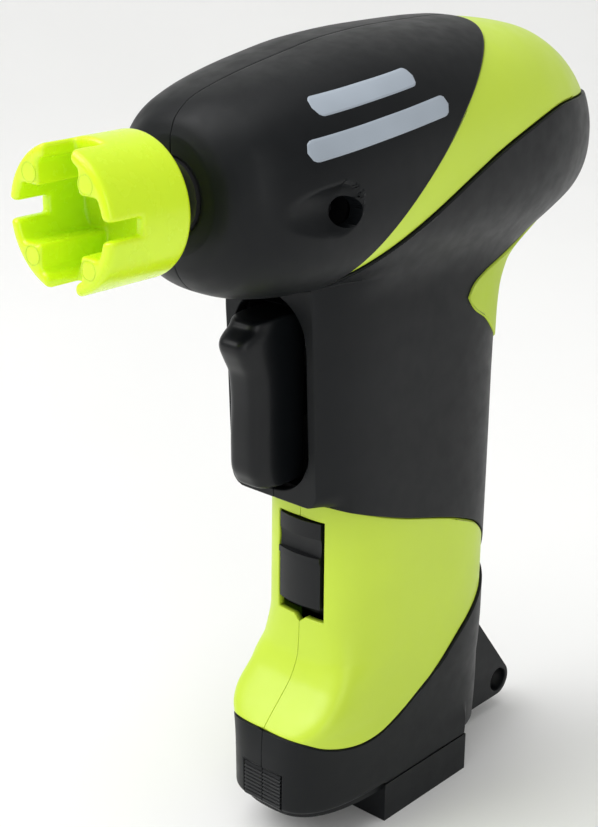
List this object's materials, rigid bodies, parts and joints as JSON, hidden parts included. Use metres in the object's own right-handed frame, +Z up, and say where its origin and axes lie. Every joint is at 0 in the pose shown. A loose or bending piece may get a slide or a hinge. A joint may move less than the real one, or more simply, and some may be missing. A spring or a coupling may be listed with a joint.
{
  "type": "string winder",
  "caption": "Pistol-shaped battery-powered string winder with a slotted tuning-peg cup, paddle trigger, direction slider, battery base and lanyard lug.",
  "frame": {"origin": "centre of the flat square foot under the handle, on the face the tool stands on", "axes": "+Z up along the handle, -Y the way the winding cup points, +X the tool's left side"},
  "size_m": [0.0568, 0.1698, 0.1996],
  "materials": {
    "black_shell": "satin, soft-touch",
    "lime_shell": "satin",
    "lime_pad": "soft matte",
    "lime_cup": "glossy moulded",
    "black_trigger": "satin",
    "black_switchgear": "matte",
    "steel": "machined",
    "spring_steel": "drawn wire",
    "zinc_steel": "zinc plated",
    "brass": "turned",
    "gear_plastic": "natural acetal",
    "frame_plastic": "natural nylon",
    "bush_plastic": "satin",
    "magnet": "sintered",
    "copper": "enamelled winding",
    "cell_wrap": "printed film, plain",
    "lead_wire": "insulated wire"
  },
  "bodies": {
    "handle": {"nose_shell_left": "black_shell", "nose_shell_right": "black_shell", "rear_cap": "lime_shell", "grip_shell_left": "black_shell", "grip_shell_right": "black_shell", "neck_pad": "lime_pad", "lower_grip_left": "lime_shell", "lower_grip_right": "lime_shell", "base_shell_left": "black_shell", "base_shell_right": "black_shell", "front_bush": "bush_plastic", "gearbox_front_plate": "frame_plastic", "gearbox_rear_plate": "frame_plastic", "gearbox_screws": "zinc_steel", "gear_pins": "steel", "motor_can": "zinc_steel", "motor_magnets": "magnet", "motor_end_cap": "black_switchgear", "motor_cradle": "frame_plastic", "trigger_guide": "black_switchgear", "trigger_spring": "spring_steel", "trigger_switch": "black_switchgear", "reverse_switch": "black_switchgear", "battery_cell_1": "cell_wrap", "battery_cell_2": "cell_wrap", "battery_cell_3": "cell_wrap", "battery_cell_4": "cell_wrap", "battery_holder": "black_switchgear", "contact_springs": "spring_steel", "contact_plates": "zinc_steel", "head_screws": "zinc_steel", "motor_leads": "lead_wire"},
    "spindle_assembly": {"winder_cup": "lime_cup", "spindle": "steel", "retaining_clip": "spring_steel", "output_gear": "gear_plastic"},
    "second_cluster": {"second_cluster_gear": "gear_plastic"},
    "first_cluster": {"first_cluster_gear": "gear_plastic"},
    "rotor": {"motor_rotor": "copper", "motor_pinion": "brass"},
    "trigger": {"trigger": "black_trigger"},
    "direction_slider": {"direction_slider": "black_trigger", "switch_knob": "black_switchgear"},
    "battery_door": {"battery_door": "black_shell", "door_contacts": "zinc_steel"},
    "latch": {"latch_tab": "black_trigger"}
  },
  "joints": [
    {"name": "cup_spin", "type": "hinge", "parent": "handle", "child": "spindle_assembly", "pos_m": [0, -0.085, 0.17], "axis": [0, 1, 0], "continuous": true},
    {"name": "second_cluster_spin", "type": "hinge", "parent": "handle", "child": "second_cluster", "pos_m": [0.0147, -0.034, 0.17], "axis": [0, 1, 0], "continuous": true},
    {"name": "first_cluster_spin", "type": "hinge", "parent": "handle", "child": "first_cluster", "pos_m": [0.00918, -0.028, 0.17893], "axis": [0, 1, 0], "continuous": true},
    {"name": "rotor_spin", "type": "hinge", "parent": "handle", "child": "rotor", "pos_m": [0, -0.009, 0.172], "axis": [0, 1, 0], "continuous": true},
    {"name": "trigger_press", "type": "slide", "parent": "handle", "child": "trigger", "axis": [0, 1, 0], "range_m": [0, 0.0045], "stiffness_N_per_m": 700, "springref_m": -0.003, "deforming": ["trigger_spring"]},
    {"name": "direction_slide", "type": "slide", "parent": "handle", "child": "direction_slider", "axis": [0, 0, -1], "range_m": [0, 0.0032]},
    {"name": "door_slide", "type": "slide", "parent": "handle", "child": "battery_door", "axis": [0, -1, 0], "range_m": [0, 0.014]},
    {"name": "latch_press", "type": "slide", "parent": "handle", "child": "latch", "axis": [0, 1, 0], "range_m": [0, 0.0012], "stiffness_N_per_m": 3000, "springref_m": -0.0003}
  ],
  "couplings": [
    {"joint": "second_cluster_spin", "follows": "cup_spin", "ratio": -2.5},
    {"joint": "first_cluster_spin", "follows": "cup_spin", "ratio": 8},
    {"joint": "rotor_spin", "follows": "cup_spin", "ratio": -28.8}
  ]
}
